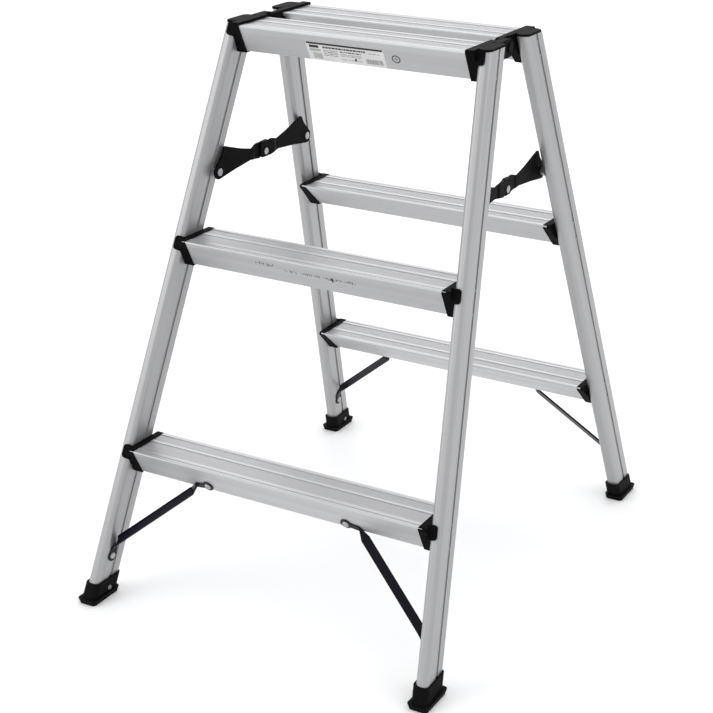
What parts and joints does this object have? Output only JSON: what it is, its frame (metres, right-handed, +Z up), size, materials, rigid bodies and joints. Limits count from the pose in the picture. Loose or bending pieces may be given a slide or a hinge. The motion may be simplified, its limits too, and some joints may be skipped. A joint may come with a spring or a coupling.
{
  "type": "folding step ladder",
  "caption": "Double-sided folding step ladder: mirrored aluminium frames with treads, hinged at the platform, with folding spreaders.",
  "frame": {"origin": "on the floor under the middle of the platform, with the ladder open", "axes": "+Z up, +X to the right along the treads as the climber at the front sees them, +Y from the front frame to the rear frame"},
  "size_m": [0.5624, 0.7522, 0.7935],
  "materials": {
    "anodised_aluminium": "satin anodised extrusion with lengthwise die lines",
    "black_plastic": "moulded, satin black",
    "black_rubber": "moulded, matte black",
    "black_steel": "black paint with a low sheen",
    "plated_steel": "zinc plated",
    "bare_rivet": "drawn aluminium",
    "sticker_film": "printed film, semi-matte"
  },
  "bodies": {
    "front_frame": {"front_boot_left": "black_rubber", "front_boot_right": "black_rubber", "front_boot_rivets": "bare_rivet", "front_brace_left": "black_steel", "front_brace_right": "black_steel", "front_brace_rivets": "plated_steel", "front_bracket_low_left": "black_plastic", "front_bracket_low_right": "black_plastic", "front_bracket_mid_left": "black_plastic", "front_bracket_mid_right": "black_plastic", "front_bracket_rivets": "bare_rivet", "front_bracket_top_left": "black_plastic", "front_bracket_top_right": "black_plastic", "front_link_rivet_left": "plated_steel", "front_link_rivet_right": "plated_steel", "front_stile_left": "anodised_aluminium", "front_stile_right": "anodised_aluminium", "front_tread_low": "anodised_aluminium", "front_tread_mid": "anodised_aluminium", "front_tread_top": "anodised_aluminium", "hinge_pin_left": "black_steel", "hinge_pin_right": "black_steel", "rating_label": "sticker_film"},
    "rear_frame": {"rear_boot_left": "black_rubber", "rear_boot_right": "black_rubber", "rear_boot_rivets": "bare_rivet", "rear_brace_left": "black_steel", "rear_brace_right": "black_steel", "rear_brace_rivets": "plated_steel", "rear_bracket_low_left": "black_plastic", "rear_bracket_low_right": "black_plastic", "rear_bracket_mid_left": "black_plastic", "rear_bracket_mid_right": "black_plastic", "rear_bracket_rivets": "bare_rivet", "rear_bracket_top_left": "black_plastic", "rear_bracket_top_right": "black_plastic", "rear_stile_left": "anodised_aluminium", "rear_stile_right": "anodised_aluminium", "rear_tread_low": "anodised_aluminium", "rear_tread_mid": "anodised_aluminium", "rear_tread_top": "anodised_aluminium"},
    "spreader_front_left": {"front_spreader_link_left": "black_steel", "spreader_hub_rivet_left": "plated_steel"},
    "spreader_front_right": {"front_spreader_link_right": "black_steel", "spreader_hub_rivet_right": "plated_steel"},
    "spreader_rear_left": {"rear_link_rivet_left": "plated_steel", "rear_spreader_link_left": "black_steel"},
    "spreader_rear_right": {"rear_link_rivet_right": "plated_steel", "rear_spreader_link_right": "black_steel"}
  },
  "joints": [
    {"name": "frame_fold", "type": "hinge", "parent": "front_frame", "child": "rear_frame", "pos_m": [0, 0, 0.7812], "axis": [-1, 0, 0], "range_deg": [0, 43]},
    {"name": "spreader_front_left_pivot", "type": "hinge", "parent": "front_frame", "child": "spreader_front_left", "pos_m": [-0.1932, -0.1185, 0.587], "axis": [1, 0, 0], "range_deg": [0, 47.57]},
    {"name": "spreader_hub_left_pivot", "type": "hinge", "parent": "spreader_front_left", "child": "spreader_rear_left", "pos_m": [-0.1932, 0, 0.5905], "axis": [-1, 0, 0], "range_deg": [0, 138.13]},
    {"name": "spreader_front_right_pivot", "type": "hinge", "parent": "front_frame", "child": "spreader_front_right", "pos_m": [0.1932, -0.1185, 0.587], "axis": [1, 0, 0], "range_deg": [0, 47.57]},
    {"name": "spreader_hub_right_pivot", "type": "hinge", "parent": "spreader_front_right", "child": "spreader_rear_right", "pos_m": [0.1932, 0, 0.5905], "axis": [-1, 0, 0], "range_deg": [0, 138.13]}
  ],
  "couplings": [
    {"joint": "spreader_front_left_pivot", "follows": "frame_fold", "ratio": 1.1061},
    {"joint": "spreader_hub_left_pivot", "follows": "frame_fold", "ratio": 3.2121},
    {"joint": "spreader_front_right_pivot", "follows": "frame_fold", "ratio": 1.1061},
    {"joint": "spreader_hub_right_pivot", "follows": "frame_fold", "ratio": 3.2121}
  ]
}
